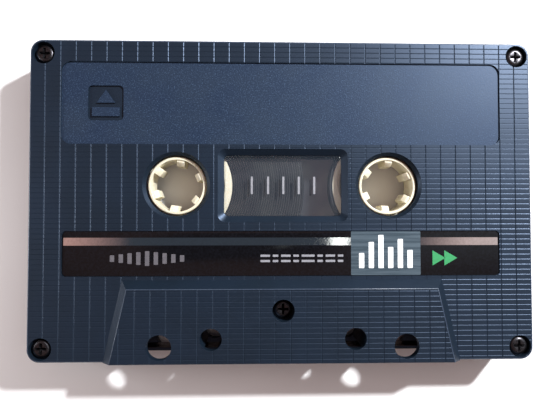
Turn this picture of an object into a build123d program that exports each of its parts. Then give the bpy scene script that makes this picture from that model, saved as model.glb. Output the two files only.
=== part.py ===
from build123d import *

import math
import os

# Compact audio cassette, 100.4 x 63.8 x 12 mm, lying on its rear face.
#
# Row frame: X runs along the long side, +Y points away from the head openings, +Z points out of the
# front face (side A). The origin is the middle of the base, on the surface that the cassette lies on.
#
# Both shell halves are made in a half frame, whose Z = 0 is the parting plane and whose +Z points
# outwards. place_front() and place_rear() put what is made there into the row frame.
# All sizes are in millimetres and all angles in degrees.

# ---------------------------------------------------------------- overall sizes
shell_length = 100.4
shell_height = 63.8
corner_radius = 2.5
edge_round = 0.35
plate = 1.6  # thickness of the front and rear plates
side_wall = 1.3  # thickness of the perimeter wall
front_wall = 1.2  # thickness of the wall that holds the head openings
raise_height = 1.65  # how far the head area stands above each plate

# ---------------------------------------------------------------- tape and its stack
tape_width = 3.81
tape_thickness = 0.1
tape_gap = 0.345  # from a tape edge to the liner
liner_thickness = 0.15
liner_rib = 0.35  # height of the ribs that carry the liner
tape_setback = 2.25  # from the front edge to the tape's outer surface
run_clearance = 0.03  # from the tape to a roller, a pack or the pad
leader_wraps = 0.6  # thickness of the few turns on the empty hub

# ---------------------------------------------------------------- hubs
hub_spacing = 42.5
hub_from_front = 34.8  # from the front edge to the hub centres
hub_radius = 11.0  # the surface that the tape is wound on
hub_rim = 1.5
hub_ring_radius = 5.8
hub_bore_radius = 5.25
hub_tooth_tip = 4.0  # radius of the circle that the drive teeth leave open
hub_tooth_width = 1.5
hub_tooth_count = 6
hub_tooth_half = 2.9  # half the height of a tooth
hub_web_half = 0.6
hub_recess = 1.2  # from the plate's outer face down to the hub's end
hub_float = 0.3  # radial play of the hub in the shell
hub_hole_bevel = 0.6
left_tooth_angle = 22.0
right_tooth_angle = 26.0
clip_width = 6.0
clip_depth = 3.4
clip_clearance = 0.04
clip_wall = 1.4
clip_angle = 250.0

# ---------------------------------------------------------------- packs: the room around a full one
pack_side_gap = 2.05
pack_gap = 0.5

# ---------------------------------------------------------------- guide rollers
roller_radius = 4.0
roller_flange = 0.6
roller_flange_thickness = 0.45
roller_groove_play = 0.1
roller_boss_gap = 0.29  # from a roller's flange to the corner screw's boss
roller_bore_play = 0.06
pin_radius = 1.0
pin_seat_depth = 0.85
pin_seat_play = 0.02
pin_boss_radius = 1.8
pin_boss_height = 0.15

# ---------------------------------------------------------------- head area
raised_foot_half_top = 31.8
raised_foot_half_front = 35.4
raised_foot_height = 16.05
raised_slope = 45.0
raised_inner_inset = 1.1
raised_round = 0.25
locating_hole_radius = 2.15
locating_hole_x = 14.15
locating_hole_from_front = 4.7
locating_wall = 0.85
locating_flat_gap = 0.65  # from the tape to the flat on the locating tube
capstan_hole_radius = 2.45
capstan_hole_x = 24.2
capstan_hole_from_front = 3.2
head_opening_half = 8.8
guide_opening = (11.0, 17.2)
pinch_opening = (19.4, 30.4)
guide_post_radius = 0.9
guide_post_x = (18.4, 32.0)
guide_post_gap = 0.15

# ---------------------------------------------------------------- pressure pad, spring, shield
pad_length = 5.0
pad_height = 3.6
pad_thickness = 2.2
spring_thickness = 0.15
spring_height = 3.7
spring_flat_half = 3.6
spring_ramp_half = 8.3
spring_rise = 0.55
seat_half_inner = 9.3
seat_front = 4.4  # from the front edge to the front of the spring seat
seat_length = 3.4
slot_play = 0.12
seat_slot_depth = 1.1
shield_thickness = 0.5
shield_height = 6.6
shield_from_front = 6.0
shield_lip = 1.1
shield_end_play = 0.15

# ---------------------------------------------------------------- screws
screw_inset = 2.65  # from both edges to a corner screw
centre_screw_from_front = 10.2
screw_head_radius = 1.95
screw_head_height = 1.2
screw_head_round = 0.9
screw_head_sink = 0.35
screw_thread_radius = 1.0
screw_core_radius = 0.78
screw_pitch = 0.8
screw_length = 6.2
screw_tip = 0.9
screw_hole_play = 0.2
screw_pilot_play = 0.04
screw_boss_radius = 2.65
counterbore_play = 0.25
cross_width = 0.55
cross_length = 2.2
cross_depth = 0.75

# ---------------------------------------------------------------- window
window_land = 1.55  # from a hub hole's bevel to the window's bevel
window_outer_height = 14.6
window_bevel = 1.2
window_sink = 0.85
window_radius = 0.9
window_flange = 1.6
window_flange_thickness = 0.4
window_play = 0.05

# ---------------------------------------------------------------- label areas
label_side_margin = 6.2
label_top_margin = 4.35
label_window_gap = 0.9
label_radius = 2.0
label_sink = 0.3
emblem_from_left = 8.7
emblem_size = 7.0
emblem_sink = 0.35
emblem_radius = 0.9
emblem_triangle = (3.7, 2.6)
emblem_bar = (5.5, 1.8)
emblem_gap = 0.9
strip_side_margin = 6.6
strip_height = 9.0
strip_from_foot = 0.7
strip_radius = 0.8
strip_play = 0.2
strip_label_thickness = 0.12

# ---------------------------------------------------------------- record tabs and type notches
tab_from_side = 9.7
tab_opening = 5.4
tab_thickness = 0.9
tab_slit = 0.3
notch_from_side = 16.8
notch_opening = 4.6
notch_half_height = 2.2
notch_depth = 3.4
notch_wall = 0.9

# ---------------------------------------------------------------- alignment pegs
peg_radius = 0.7
peg_height = 1.2
peg_play = 0.06
peg_boss_radius = 1.5
peg_from_side = 3.9
peg_from_top = 10.4
middle_peg_from_top = 3.6

# ---------------------------------------------------------------- liner
liner_wall_gap = 0.5
liner_front_gap = 1.2
liner_hub_gap = 0.7
liner_boss_gap = 0.35
liner_window_gap = 0.7
hub_rib_radius = 8.2
hub_rib_thickness = 0.7

# ---------------------------------------------------------------- worked out from the sizes above
tape_half = tape_width / 2
body_half = tape_half + tape_gap + liner_thickness + liner_rib + plate
raised_half = body_half + raise_height
inner_half = body_half - plate  # inner face of a plate
raised_inner_half = raised_half - plate
mid_z = raised_half
front_y = -shell_height / 2
back_y = shell_height / 2
hub_x = hub_spacing / 2
hub_y = front_y + hub_from_front
hub_hole_radius = hub_ring_radius + hub_float
hub_half = body_half - hub_recess
liner_inner = tape_half + tape_gap
tape_outer_y = front_y + tape_setback
tape_inner_y = tape_outer_y + tape_thickness
roller_y = tape_inner_y + run_clearance + roller_radius
roller_half = tape_half + roller_groove_play + roller_flange_thickness
roller_flange_radius = roller_radius + roller_flange
pin_half = inner_half + pin_seat_depth
locating_y = front_y + locating_hole_from_front
capstan_y = front_y + capstan_hole_from_front
raised_foot_y = front_y + raised_foot_height
window_outer_half = hub_x - hub_hole_radius - hub_hole_bevel - window_land
window_half = window_outer_half - window_bevel
window_height = window_outer_height - 2 * window_bevel
window_face = body_half - window_sink
window_flange_top = inner_half + window_flange_thickness
label_half = shell_length / 2 - label_side_margin
label_top = back_y - label_top_margin
label_bottom = hub_y + window_outer_height / 2 + label_window_gap
strip_half = shell_length / 2 - strip_side_margin
strip_y = raised_foot_y + strip_from_foot + strip_height / 2
screw_x = shell_length / 2 - screw_inset
screw_y = shell_height / 2 - screw_inset
centre_screw_y = front_y + centre_screw_from_front
roller_to_boss = roller_flange_radius + roller_boss_gap + screw_boss_radius
roller_x = screw_x - math.sqrt(roller_to_boss**2 - (roller_y + screw_y) ** 2)
counterbore_radius = screw_head_radius + counterbore_play
screw_head_top = body_half - screw_head_sink
screw_seat = screw_head_top - screw_head_height
tab_x = shell_length / 2 - tab_from_side
notch_x = shell_length / 2 - notch_from_side
block_bottom = back_y - notch_depth - notch_wall
block_inner_x = notch_x - notch_opening / 2 - notch_wall
block_outer_x = tab_x + tab_opening / 2 + notch_wall
peg_x = shell_length / 2 - peg_from_side
pad_front = tape_inner_y + run_clearance
pad_back = pad_front + pad_thickness
spring_seat_y = pad_back + spring_rise
shield_y = front_y + shield_from_front
shield_half = seat_half_inner + seat_slot_depth - shield_end_play
locating_flat_y = tape_inner_y + locating_flat_gap

SCREWS = {
    "screw_back_left": (-screw_x, screw_y),
    "screw_back_right": (screw_x, screw_y),
    "screw_front_left": (-screw_x, -screw_y),
    "screw_front_right": (screw_x, -screw_y),
    "screw_centre": (0, centre_screw_y),
}
PEGS = [(-peg_x, back_y - peg_from_top), (peg_x, back_y - peg_from_top), (0, back_y - middle_peg_from_top)]
SIDES = (-1, 1)


def full_pack_radius():
    """The radius of a full pack, which is as large as the room around its hub lets it be."""
    side_room = shell_length / 2 - side_wall - pack_side_gap - hub_x
    back_room = back_y - side_wall - pack_gap - hub_y
    block_dx = max(block_inner_x - hub_x, 0)
    block_room = math.hypot(block_dx, block_bottom - hub_y) - pack_gap
    other_hub_room = hub_spacing - hub_radius - leader_wraps - pack_gap
    tube_distance = math.hypot(hub_x - locating_hole_x, hub_y - locating_y)
    tube_room = tube_distance - locating_hole_radius - locating_wall - pack_gap
    roller_distance = math.hypot(roller_x - hub_x, hub_y - roller_y)
    roller_room = roller_distance - roller_flange_radius - pack_gap
    return min(side_room, back_room, block_room, other_hub_room, tube_room, roller_room)


pack_radius = full_pack_radius()


# ---------------------------------------------------------------- small helpers
def box(x0, x1, y0, y1, z0, z1):
    """A box between two corners."""
    centre = ((x0 + x1) / 2, (y0 + y1) / 2, (z0 + z1) / 2)
    return Pos(*centre) * Box(x1 - x0, y1 - y0, z1 - z0)


def rod(x, y, radius, z0, z1):
    """A cylinder along Z."""
    return Pos(x, y, (z0 + z1) / 2) * Cylinder(radius, z1 - z0)


def slab(x, y, width, height, radius, z0, z1):
    """A rounded rectangle, extruded along Z."""
    return extrude(Pos(x, y, z0) * RectangleRounded(width, height, radius), z1 - z0)


def place_front(shape):
    """Moves a shape from the half frame to the front half."""
    return Pos(0, 0, mid_z) * shape


def place_rear(shape):
    """Turns a shape from the half frame over about the Y axis, into the rear half."""
    return Pos(0, 0, mid_z) * Rot(0, 180, 0) * shape


# ---------------------------------------------------------------- shell halves
def body_block():
    """The outside of one half, before it is hollowed."""
    body = slab(0, 0, shell_length, shell_height, corner_radius, 0, body_half)
    body = fillet(body.edges().group_by(Axis.Z)[-1], edge_round)
    return body + raised_block()


def raised_outline(extra):
    """The head area's foot, drawn on past the front edge by extra."""
    lean = (raised_foot_half_front - raised_foot_half_top) / raised_foot_height
    front_half = raised_foot_half_front + lean * extra
    low = front_y - extra
    return Polygon(
        (-raised_foot_half_top, raised_foot_y),
        (-front_half, low),
        (front_half, low),
        (raised_foot_half_top, raised_foot_y),
        align=None,
    )


def raised_block():
    """The head area: a low trapezium with three sloping sides, cut off square at the front edge."""
    beyond = 2 * raise_height
    foot_drop = edge_round
    sloping = extrude(Pos(0, 0, body_half) * raised_outline(beyond), raise_height, taper=raised_slope)
    skirt = extrude(Pos(0, 0, body_half - foot_drop) * raised_outline(beyond), foot_drop)
    keep = box(-shell_length, shell_length, front_y, back_y, 0, 2 * raised_half)
    sloping = fillet(sloping.edges().group_by(Axis.Z)[-1], raised_round)
    return (sloping + skirt) & keep


def cavity():
    """What is hollowed out of a half: the reel chamber, and the deeper room behind the head openings."""
    chamber = slab(
        0,
        (side_wall * -1 + front_wall) / 2,
        shell_length - 2 * side_wall,
        shell_height - side_wall - front_wall,
        corner_radius - side_wall,
        0,
        inner_half,
    )
    inset = raised_inner_inset + raise_height
    half_top = raised_foot_half_top - inset
    half_front = raised_foot_half_front - inset
    room = Polygon(
        (-half_top, raised_foot_y - inset),
        (-half_front, front_y + front_wall),
        (half_front, front_y + front_wall),
        (half_top, raised_foot_y - inset),
        align=None,
    )
    return chamber + extrude(room, raised_inner_half)


def inner_bosses():
    """Everything that stands inside a half: bosses, posts, seats, ribs and the blocks round the notches."""
    parts = [rod(x, y, screw_boss_radius, 0, inner_half) for x, y in SCREWS.values()]
    parts.append(rod(0, centre_screw_y, screw_boss_radius, 0, raised_inner_half))
    parts += [rod(x, y, peg_boss_radius, 0, inner_half) for x, y in PEGS]
    for side in SIDES:
        parts.append(locating_tube(side))
        parts.append(spring_seat(side))
        parts += [guide_post(side * x) for x in guide_post_x]
        parts.append(notch_block(side))
        parts.append(hub_rib(side))
        roller_floor = inner_half - pin_boss_height
        parts.append(rod(side * roller_x, roller_y, pin_boss_radius, roller_floor, inner_half))
    return parts


def guide_post(x):
    """A fixed post that the tape runs past, just behind it."""
    y = tape_inner_y + guide_post_gap + guide_post_radius
    return rod(x, y, guide_post_radius, 0, raised_inner_half if abs(x) < pinch_opening[1] else inner_half)


def locating_tube(side):
    """The wall round a locating hole, with a flat that leaves the tape its way."""
    x = side * locating_hole_x
    outer = locating_hole_radius + locating_wall
    tube = rod(x, locating_y, outer, 0, raised_inner_half)
    return tube - box(x - outer, x + outer, front_y, locating_flat_y, 0, raised_half)


def spring_seat(side):
    """A block with two slots along Z: the front one takes the spring's end, the rear one the shield."""
    y0 = front_y + seat_front
    inner, outer = side * seat_half_inner, side * (locating_hole_x - locating_hole_radius)
    slot_end = side * (seat_half_inner + seat_slot_depth)
    x0, x1 = sorted((inner, outer))
    s0, s1 = sorted((inner, slot_end))
    seat = box(x0, x1, y0, y0 + seat_length, 0, raised_inner_half)
    play = slot_play
    spring_slot = box(s0, s1, spring_seat_y - play, spring_seat_y + spring_thickness + play, 0, raised_half)
    shield_slot = box(s0, s1, shield_y - play, shield_y + shield_thickness + play, 0, raised_half)
    return seat - spring_slot - shield_slot


def notch_block(side):
    """The solid that the record tab's pocket and the tape type notch are sunk into."""
    x0, x1 = sorted((side * block_inner_x, side * block_outer_x))
    return box(x0, x1, block_bottom, back_y - side_wall / 2, 0, inner_half)


def hub_rib(side):
    """A ring rib that carries the liner round a hub hole."""
    outer = rod(side * hub_x, hub_y, hub_rib_radius, inner_half - liner_rib, inner_half)
    inner = hub_rib_radius - hub_rib_thickness
    return outer - rod(side * hub_x, hub_y, inner, inner_half - liner_rib, inner_half)


def hub_hole(side):
    """The hole for a hub's ring, with a bevelled rim."""
    hole = rod(side * hub_x, hub_y, hub_hole_radius, 0, raised_half)
    rim = Pos(side * hub_x, hub_y, body_half - hub_hole_bevel / 2) * Cone(
        hub_hole_radius, hub_hole_radius + hub_hole_bevel, hub_hole_bevel
    )
    return hole + rim


def window_cut():
    """The window's bevelled recess, its opening, and the pocket for the pane's flange."""
    small = Pos(0, hub_y, window_face) * RectangleRounded(2 * window_half, window_height, window_radius)
    large = Pos(0, hub_y, body_half) * RectangleRounded(
        2 * window_outer_half, window_outer_height, window_radius + window_bevel / 2
    )
    opening = slab(0, hub_y, 2 * window_half, window_height, window_radius, 0, window_face)
    width, height = 2 * (window_half + window_flange), window_height + 2 * window_flange
    play = 2 * window_play
    pocket = slab(0, hub_y, width + play, height + play, window_radius, 0, window_flange_top)
    return loft([small, large]) + opening + pocket


def label_cuts():
    """The recess for a written label, with its emblem, and the recess for the printed strip."""
    height = label_top - label_bottom
    middle = (label_top + label_bottom) / 2
    floor = body_half - label_sink
    recess = slab(0, middle, 2 * label_half, height, label_radius, floor, raised_half)
    strip_floor = floor
    width, strip_cut = 2 * strip_half, strip_height
    strip = slab(0, strip_y, width, strip_cut, strip_radius, strip_floor, raised_half)
    return recess + strip + emblem_cut(middle, floor)


def emblem_cut(middle, floor):
    """A rounded square pocket that leaves a raised triangle over a bar."""
    x = -label_half + emblem_from_left
    pocket = slab(x, middle, emblem_size, emblem_size, emblem_radius, floor - emblem_sink, floor)
    width, height = emblem_triangle
    bar_width, bar_height = emblem_bar
    stack = height + emblem_gap + bar_height
    base = middle + stack / 2 - height
    triangle = Polygon((x - width / 2, base), (x + width / 2, base), (x, base + height), align=None)
    bar_low = middle - stack / 2
    bar = box(x - bar_width / 2, x + bar_width / 2, bar_low, bar_low + bar_height, floor - emblem_sink, floor)
    return pocket - extrude(Pos(0, 0, floor - emblem_sink) * triangle, emblem_sink) - bar


def head_openings():
    """The five openings in the front wall: the head's, two guides' and two pinch rollers'."""
    y0, y1 = front_y - front_wall, front_y + front_wall
    cuts = [box(-head_opening_half, head_opening_half, y0, y1, 0, raised_inner_half)]
    for side in SIDES:
        for span in (guide_opening, pinch_opening):
            x0, x1 = sorted((side * span[0], side * span[1]))
            cuts.append(box(x0, x1, y0, y1, 0, raised_inner_half))
    return cuts


def notch_cuts():
    """The pockets in the back edge: a record tab's and a tape type notch on each side."""
    cuts = []
    for side in SIDES:
        for x, width in ((tab_x, tab_opening), (notch_x, notch_opening)):
            x0, x1 = side * x - width / 2, side * x + width / 2
            cuts.append(box(x0, x1, back_y - notch_depth, back_y + side_wall, 0, notch_half_height))
    return cuts


def record_tab(side):
    """A break-off tab, which hangs from its own half by a thin web and reaches across the parting plane."""
    half = tab_opening / 2 - tab_slit
    x = side * tab_x
    y1 = back_y - edge_round / 2
    flap_low = -(notch_half_height - tab_slit)
    flap = box(x - half, x + half, y1 - tab_thickness, y1, flap_low, notch_half_height - tab_slit)
    web = box(x - half / 2, x + half / 2, y1 - tab_thickness, y1 - tab_thickness / 2, 0, notch_half_height)
    return flap + web


def shell_half():
    """One half with everything that both halves have, and the record tab on its own left."""
    solid = body_block()
    hollow = solid - cavity()
    for boss in inner_bosses():
        hollow += boss & solid
    cuts = [hub_hole(side) for side in SIDES] + [window_cut(), label_cuts()]
    cuts += head_openings() + notch_cuts()
    for side in SIDES:
        cuts.append(rod(side * locating_hole_x, locating_y, locating_hole_radius, 0, raised_half))
        cuts.append(rod(side * capstan_hole_x, capstan_y, capstan_hole_radius, 0, raised_half))
        cuts.append(rod(side * roller_x, roller_y, pin_radius + pin_seat_play, 0, pin_half))
    for cut in cuts:
        hollow -= cut
    return hollow + record_tab(-1)


def front_shell():
    """The half with the screw heads' counterbores and the pegs' sockets."""
    half = shell_half()
    for x, y in SCREWS.values():
        half -= rod(x, y, screw_thread_radius + screw_hole_play, 0, raised_half)
        half -= rod(x, y, counterbore_radius, screw_seat, raised_half)
    for x, y in PEGS:
        half -= rod(x, y, peg_radius + peg_play, 0, peg_height + peg_play)
    return place_front(half)


def rear_shell():
    """The half that the screws bite into, with the pegs."""
    half = shell_half()
    depth = screw_length - screw_seat + screw_pilot_play
    for x, y in SCREWS.values():
        half -= rod(x, y, screw_thread_radius + screw_pilot_play, 0, depth)
    for x, y in PEGS:
        half += rod(x, y, peg_radius, -peg_height, peg_radius)
    return place_rear(half)


# ---------------------------------------------------------------- windows, labels and liners
def window_pane():
    """A clear pane: a flange inside the plate, and a face that fills the opening."""
    width, height = 2 * (window_half + window_flange), window_height + 2 * window_flange
    flange = slab(0, hub_y, width, height, window_radius, inner_half, window_flange_top)
    play = 2 * window_play
    face = slab(
        0, hub_y, 2 * window_half - play, window_height - play, window_radius, window_flange_top, window_face
    )
    return flange + face


def strip_label():
    """The printed strip that lies in its recess."""
    floor = body_half - label_sink
    width, height = 2 * strip_half - strip_play, strip_height - strip_play
    return slab(0, strip_y, width, height, strip_radius, floor, floor + strip_label_thickness)


def liner():
    """A slip sheet between the packs and a plate, cut out for hubs, window, bosses and pegs."""
    half = shell_length / 2 - side_wall - liner_wall_gap
    top = block_bottom - liner_wall_gap
    bottom = roller_y + roller_flange_radius + liner_front_gap
    sheet = box(-half, half, bottom, top, liner_inner, liner_inner + liner_thickness)
    for side in SIDES:
        sheet -= rod(side * hub_x, hub_y, hub_ring_radius + liner_hub_gap, 0, raised_half)
    for x, y in PEGS:
        sheet -= rod(x, y, peg_boss_radius + liner_boss_gap, 0, raised_half)
    for x, y in SCREWS.values():
        sheet -= rod(x, y, screw_boss_radius + liner_boss_gap, 0, raised_half)
    width = 2 * (window_half + window_flange + liner_window_gap)
    height = window_height + 2 * (window_flange + liner_window_gap)
    return sheet - slab(0, hub_y, width, height, window_radius, 0, raised_half)


# ---------------------------------------------------------------- reels
def hub(side, tooth_angle):
    """A hub: the rim that the tape winds on, a web, and a ring with drive teeth in its bore."""
    rim = Cylinder(hub_radius, tape_width) - Cylinder(hub_radius - hub_rim, tape_width)
    web = Cylinder(hub_radius - hub_rim / 2, 2 * hub_web_half)
    ring = Cylinder(hub_ring_radius, 2 * hub_half)
    ring = chamfer(ring.edges(), (hub_ring_radius - hub_bore_radius) / 4)
    seat = Rot(0, 0, clip_angle) * clip_block(clip_wall) & Cylinder(hub_radius, tape_width)
    body = rim + web + ring + seat - Cylinder(hub_bore_radius, 3 * hub_half)
    body -= Rot(0, 0, clip_angle) * clip_block(clip_clearance)
    for index in range(hub_tooth_count):
        body += Rot(0, 0, tooth_angle + index * 360 / hub_tooth_count) * hub_tooth()
    return Pos(side * hub_x, hub_y, mid_z) * body


def hub_tooth():
    """One drive tooth, with sloping ends that lead a spindle in."""
    inner, outer = hub_tooth_tip, (hub_bore_radius + hub_ring_radius) / 2
    block = box(inner, outer, -hub_tooth_width / 2, hub_tooth_width / 2, -hub_tooth_half, hub_tooth_half)
    tips = block.faces().sort_by(Axis.X)[0].edges().filter_by(Axis.Y)
    return chamfer(tips, (outer - inner) / 2)


def clip_block(grow):
    """The room of the leader clip, grown all round by grow; it points along +X."""
    inner = hub_radius - clip_depth - grow
    half = clip_width / 2 + grow
    return box(inner, 2 * hub_radius, -half, half, -tape_half, tape_half)


def leader_clip(side):
    """The clip that holds the leader tape in the hub, flush with the winding surface."""
    clip = Rot(0, 0, clip_angle) * clip_block(0) & Cylinder(hub_radius, tape_width)
    return Pos(side * hub_x, hub_y, mid_z) * clip


def tape_pack(side, outer_radius):
    """The tape wound on one hub."""
    pack = Cylinder(outer_radius, tape_width) - Cylinder(hub_radius, tape_width)
    return Pos(side * hub_x, hub_y, mid_z) * pack


# ---------------------------------------------------------------- free tape
def tangent_angle(side, pack):
    """The direction, from the hub centre, in which the free tape touches the pack and the roller."""
    dx, dy = roller_x - hub_x, roller_y - hub_y
    across = math.degrees(math.acos((pack - roller_radius) / math.hypot(dx, dy)))
    angle = math.degrees(math.atan2(dy, dx)) + across
    return angle if side > 0 else 180 - angle


def tape_side(side, pack, offset):
    """Points of the tape's line at one side, at a distance from the roller: pack, roller, arc middle, run."""
    angle = tangent_angle(side, pack)
    direction = Vector(math.cos(math.radians(angle)), math.sin(math.radians(angle)), 0)
    hub_centre = Vector(side * hub_x, hub_y, 0)
    roller_centre = Vector(side * roller_x, roller_y, 0)
    low_angle = -90 if side > 0 else 270
    middle = math.radians((angle + low_angle) / 2)
    reach = roller_radius + run_clearance + offset
    return [
        hub_centre + direction * (pack + run_clearance + offset),
        roller_centre + direction * reach,
        roller_centre + Vector(math.cos(middle), math.sin(middle), 0) * reach,
        roller_centre + Vector(0, -reach, 0),
    ]


def tape_span():
    """The free tape: from the left pack round both rollers, past the head openings, to the right pack."""
    edges = []
    ends = []
    for offset in (0, tape_thickness):
        left = tape_side(-1, pack_radius, offset)
        right = tape_side(1, hub_radius + leader_wraps, offset)
        edges += [
            Line(left[0], left[1]),
            ThreePointArc(left[1], left[2], left[3]),
            Line(left[3], right[3]),
            ThreePointArc(right[3], right[2], right[1]),
            Line(right[1], right[0]),
        ]
        ends.append((left[0], right[0]))
    edges += [Line(ends[0][0], ends[1][0]), Line(ends[0][1], ends[1][1])]
    outline = make_face(edges)
    return Pos(0, 0, mid_z - tape_half) * extrude(outline, tape_width, dir=(0, 0, 1))


# ---------------------------------------------------------------- rollers and pins
def guide_roller(side):
    """A flanged roller, free on its pin."""
    barrel = Cylinder(roller_radius, 2 * roller_half)
    for end in SIDES:
        offset = end * (roller_half - roller_flange_thickness / 2)
        barrel += Pos(0, 0, offset) * Cylinder(roller_flange_radius, roller_flange_thickness)
    barrel -= Cylinder(pin_radius + roller_bore_play, 3 * roller_half)
    return Pos(side * roller_x, roller_y, mid_z) * barrel


def roller_pin(side):
    """The steel pin that a roller turns on, held in both plates."""
    pin = Cylinder(pin_radius, 2 * pin_half)
    pin = chamfer(pin.edges(), pin_radius / 5)
    return Pos(side * roller_x, roller_y, mid_z) * pin


# ---------------------------------------------------------------- pressure pad, spring and shield
def pressure_pad():
    """The felt pad that presses the tape on the head."""
    return box(
        -pad_length / 2, pad_length / 2, pad_front, pad_back, mid_z - pad_height / 2, mid_z + pad_height / 2
    )


def pressure_spring():
    """The leaf spring behind the pad: a flat middle, two ramps, and two ends that sit in the seats."""
    end = seat_half_inner + seat_slot_depth - shield_end_play
    low, high = pad_back, spring_seat_y
    line = [(-end, high), (-spring_ramp_half, high), (-spring_flat_half, low)]
    line += [(-x, y) for x, y in reversed(line)]
    far_side = [(x, y + spring_thickness) for x, y in reversed(line)]
    outline = Polygon(*line, *far_side, align=None)
    return Pos(0, 0, mid_z - spring_height / 2) * extrude(outline, spring_height)


def magnetic_shield():
    """The shield plate behind the spring, with a lip along each long edge."""
    z0, z1 = mid_z - shield_height / 2, mid_z + shield_height / 2
    sheet = box(-shield_half, shield_half, shield_y, shield_y + shield_thickness, z0, z1)
    lip_half = seat_half_inner - shield_end_play
    back = shield_y + shield_lip
    lower = box(-lip_half, lip_half, shield_y, back, z0, z0 + shield_thickness)
    upper = box(-lip_half, lip_half, shield_y, back, z1 - shield_thickness, z1)
    return sheet + lower + upper


# ---------------------------------------------------------------- screws
def screw(x, y):
    """A self-tapping screw with a domed cross head; its thread is drawn as plain rings."""
    head = Pos(0, 0, screw_seat + screw_head_height / 2) * Cylinder(screw_head_radius, screw_head_height)
    head = fillet(head.edges().group_by(Axis.Z)[-1], screw_head_round)
    bars = [Rectangle(cross_length, cross_width), Rectangle(cross_width, cross_length)]
    top = screw_head_top
    for bar in bars:
        head -= extrude(Pos(0, 0, top) * bar, -cross_depth, taper=20)
    return Pos(x, y, mid_z) * (head + screw_shank())


def screw_shank():
    """The core, its thread rings and the pointed tip."""
    tip_z = screw_seat - screw_length
    points = [(0, screw_seat), (screw_core_radius, screw_seat)]
    z = screw_seat - screw_pitch
    while z - screw_pitch / 2 > tip_z + screw_tip:
        points += [
            (screw_core_radius, z),
            (screw_thread_radius, z - screw_pitch / 4),
            (screw_core_radius, z - screw_pitch / 2),
        ]
        z -= screw_pitch
    points += [(screw_core_radius, tip_z + screw_tip), (0, tip_z)]
    profile = Plane.XZ * Polygon(*points, align=None)
    return revolve(profile, Axis.Z)


# ---------------------------------------------------------------- the whole cassette
def all_parts():
    """Every node of the cassette by name."""
    empty_radius = hub_radius + leader_wraps
    parts = {
        "front_shell": front_shell(),
        "rear_shell": rear_shell(),
        "front_window": place_front(window_pane()),
        "rear_window": place_rear(window_pane()),
        "front_label": place_front(strip_label()),
        "rear_label": place_rear(strip_label()),
        "front_liner": place_front(liner()),
        "rear_liner": place_rear(liner()),
        "left_hub": hub(-1, left_tooth_angle),
        "right_hub": hub(1, right_tooth_angle),
        "left_leader_clip": leader_clip(-1),
        "right_leader_clip": leader_clip(1),
        "left_tape_pack": tape_pack(-1, pack_radius),
        "right_tape_pack": tape_pack(1, empty_radius),
        "tape_span": tape_span(),
        "left_guide_roller": guide_roller(-1),
        "right_guide_roller": guide_roller(1),
        "left_roller_pin": roller_pin(-1),
        "right_roller_pin": roller_pin(1),
        "pressure_pad": pressure_pad(),
        "pressure_spring": pressure_spring(),
        "magnetic_shield": magnetic_shield(),
    }
    parts.update({name: screw(x, y) for name, (x, y) in SCREWS.items()})
    return parts


def report_sizes():
    """Prints the values that the record repeats."""
    ratio = pack_radius / (hub_radius + leader_wraps)
    print("pack radius", round(pack_radius, 4), "reel ratio", round(ratio, 6))
    print("roller ratio", round(pack_radius / roller_radius, 6))
    print("hub centre", hub_x, round(hub_y, 3), "mid z", round(mid_z, 3), "roller", round(roller_x, 4), round(roller_y, 4))


if __name__ == "__main__":
    os.makedirs("parts", exist_ok=True)
    for node, shape in all_parts().items():
        export_step(shape, f"parts/{node}.step")
    report_sizes()
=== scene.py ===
"""Visual model of a compact audio cassette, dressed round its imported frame.

Every object is in metres, in the frame's axes: X along the long side, +Y away from the head openings
and +Z out of the front face. The size fields of the classes are in millimetres.
"""

import logging
import math
import random
from collections.abc import Iterable, Sequence
from dataclasses import dataclass
from enum import Enum
from typing import Any

import bmesh
import bpy
from mathutils import Matrix, Vector


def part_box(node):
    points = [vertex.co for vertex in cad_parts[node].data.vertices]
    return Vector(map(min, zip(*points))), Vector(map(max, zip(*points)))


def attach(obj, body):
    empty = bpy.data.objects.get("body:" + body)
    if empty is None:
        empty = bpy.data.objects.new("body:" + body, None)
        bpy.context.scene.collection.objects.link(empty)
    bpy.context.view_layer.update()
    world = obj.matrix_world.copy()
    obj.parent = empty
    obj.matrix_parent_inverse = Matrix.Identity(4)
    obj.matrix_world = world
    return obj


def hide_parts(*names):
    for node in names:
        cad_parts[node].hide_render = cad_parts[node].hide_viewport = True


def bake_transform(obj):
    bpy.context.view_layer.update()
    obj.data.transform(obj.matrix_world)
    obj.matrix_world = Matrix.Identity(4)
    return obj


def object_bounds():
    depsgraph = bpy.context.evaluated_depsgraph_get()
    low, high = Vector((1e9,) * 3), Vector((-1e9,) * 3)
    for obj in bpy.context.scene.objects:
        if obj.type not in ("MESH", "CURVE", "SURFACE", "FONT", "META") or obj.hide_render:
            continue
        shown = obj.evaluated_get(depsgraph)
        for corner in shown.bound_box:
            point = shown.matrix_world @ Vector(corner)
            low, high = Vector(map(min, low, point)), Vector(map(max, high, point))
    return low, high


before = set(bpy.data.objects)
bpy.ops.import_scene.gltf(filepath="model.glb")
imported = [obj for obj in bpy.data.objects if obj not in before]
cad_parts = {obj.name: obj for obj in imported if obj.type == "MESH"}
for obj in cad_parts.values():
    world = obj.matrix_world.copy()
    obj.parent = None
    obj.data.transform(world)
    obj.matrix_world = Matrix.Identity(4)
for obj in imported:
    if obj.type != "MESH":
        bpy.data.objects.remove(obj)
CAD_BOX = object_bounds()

log = logging.getLogger("cassette")

MM = 0.001
TINY = 1e-6
SAME_PLANE = math.radians(0.5)  # faces that turn less than this are merged
FACES_UP = 0.999  # the least Z of a flat outer face's normal
THICKNESS = CAD_BOX[1].z - CAD_BOX[0].z
Colour = tuple[float, float, float, float]
Rectangle = tuple[float, float, float, float]  # least and greatest X, then least and greatest Y


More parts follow.
